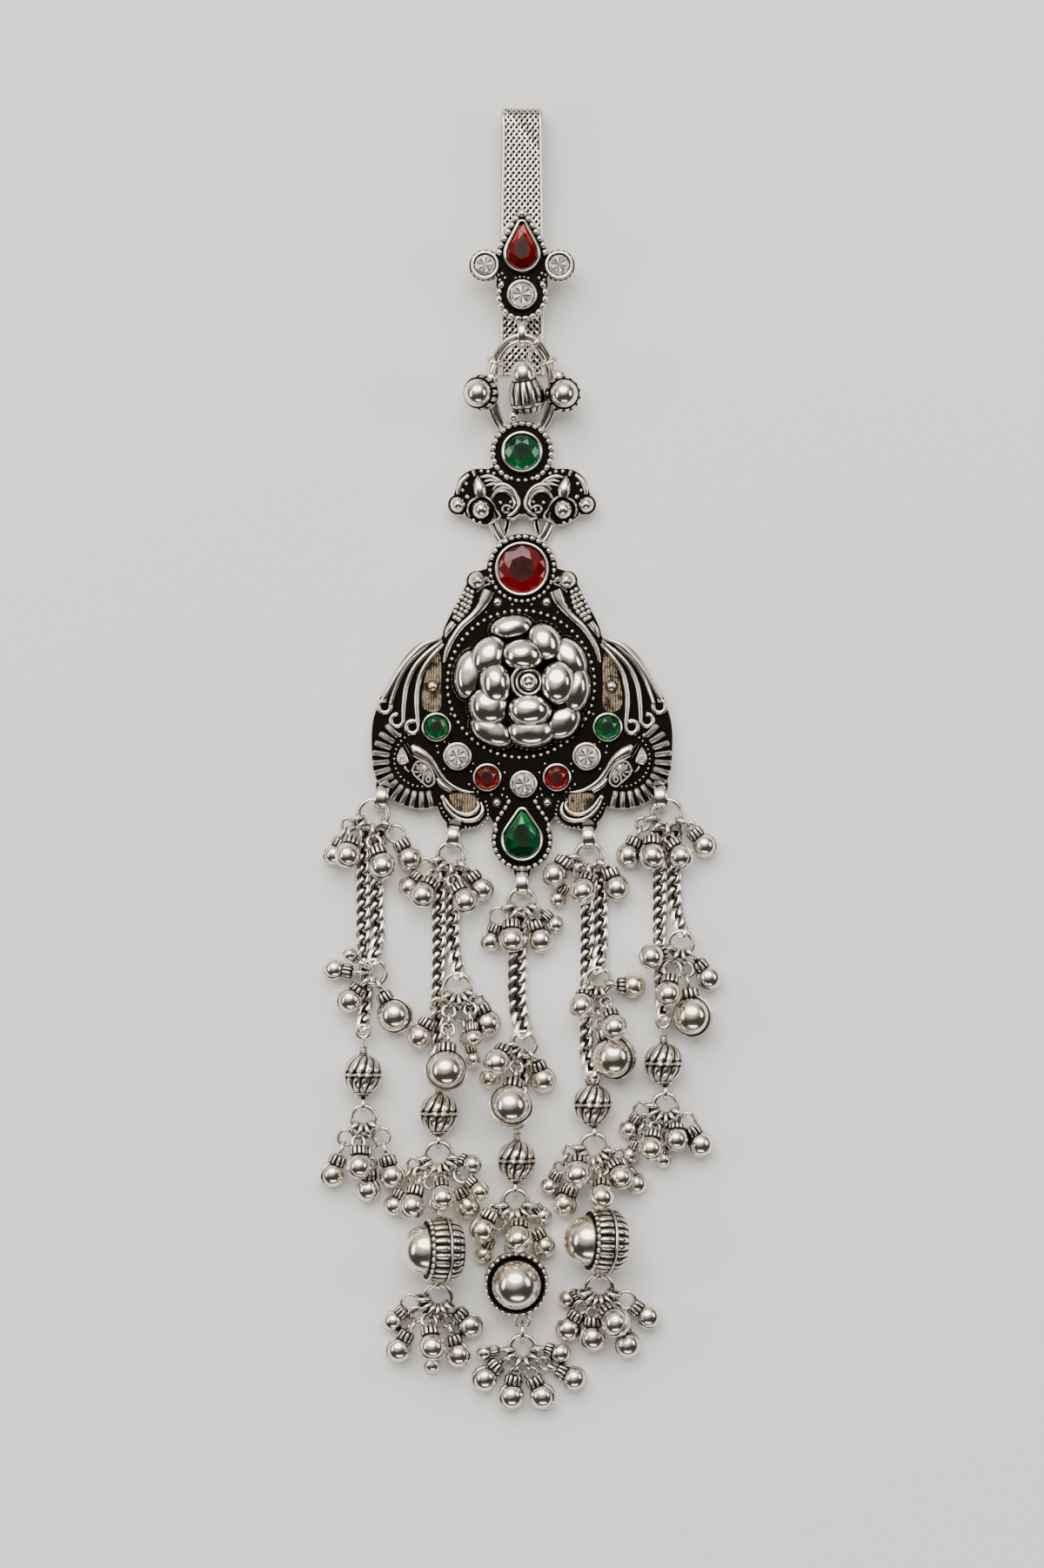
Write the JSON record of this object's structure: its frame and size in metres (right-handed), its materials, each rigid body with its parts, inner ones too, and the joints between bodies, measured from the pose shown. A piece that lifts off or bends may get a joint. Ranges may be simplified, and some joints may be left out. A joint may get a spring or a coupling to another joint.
{
  "type": "hair bun ornament",
  "caption": "Oxidised silver hair bun ornament: a woven strap hook over jewelled plaques, from which chained strands of small bells, melon beads and domed drums fall.",
  "frame": {"origin": "centre of the footprint, on the surface that the ornament lies on", "axes": "+Y from the bells to the hook, along the ornament; +Z out of its face; +X to the right as seen from the front"},
  "size_m": [0.0788, 0.2543, 0.0135],
  "materials": {
    "woven_strap": "oxidised woven silver",
    "plaque_silver": "oxidised silver, worn bright on the high places",
    "polished_silver": "burnished silver",
    "ring_silver": "worn silver wire",
    "chain_silver": "oxidised silver chain",
    "bell_silver": "polished silver with dark seams",
    "red_stone": "foil-backed faceted glass",
    "green_stone": "foil-backed faceted glass",
    "clear_stone": "foil-backed faceted glass"
  },
  "bodies": {
    "root": {"hook_strap": "woven_strap", "top_plaque": "plaque_silver", "top_red_pear": "red_stone", "top_clear_left": "clear_stone", "top_clear_right": "clear_stone", "top_clear_low": "clear_stone", "upper_ring": "ring_silver", "upper_bells": "bell_silver", "mid_plaque": "plaque_silver", "mid_green_stone": "green_stone", "lower_ring": "ring_silver", "main_plaque": "plaque_silver", "flower": "polished_silver", "main_red_stone": "red_stone", "main_green_left": "green_stone", "main_green_right": "green_stone", "main_clear_left": "clear_stone", "main_clear_right": "clear_stone", "main_clear_low": "clear_stone", "main_red_left": "red_stone", "main_red_right": "red_stone", "main_green_pear": "green_stone", "strand_1_bail": "ring_silver", "strand_1_top_bells": "bell_silver", "strand_1_chain": "chain_silver", "strand_1_mid_bells": "bell_silver", "strand_1_melon_bead": "bell_silver", "strand_1_low_bells": "bell_silver", "strand_2_bail": "ring_silver", "strand_2_top_bells": "bell_silver", "strand_2_chain": "chain_silver", "strand_2_mid_bells": "bell_silver", "strand_2_melon_bead": "bell_silver", "strand_2_low_bells": "bell_silver", "strand_2_drum": "bell_silver", "strand_2_bottom_bells": "bell_silver", "strand_3_bail": "ring_silver", "strand_3_top_bells": "bell_silver", "strand_3_chain": "chain_silver", "strand_3_mid_bells": "bell_silver", "strand_3_melon_bead": "bell_silver", "strand_3_low_bells": "bell_silver", "strand_3_dome": "bell_silver", "strand_3_bottom_bail": "ring_silver", "strand_3_bottom_bells": "bell_silver", "strand_4_bail": "ring_silver", "strand_4_top_bells": "bell_silver", "strand_4_chain": "chain_silver", "strand_4_mid_bells": "bell_silver", "strand_4_melon_bead": "bell_silver", "strand_4_low_bells": "bell_silver", "strand_4_drum": "bell_silver", "strand_4_bottom_bells": "bell_silver", "strand_5_bail": "ring_silver", "strand_5_top_bells": "bell_silver", "strand_5_chain": "chain_silver", "strand_5_mid_bells": "bell_silver", "strand_5_melon_bead": "bell_silver", "strand_5_low_bells": "bell_silver"}
  },
  "joints": []
}
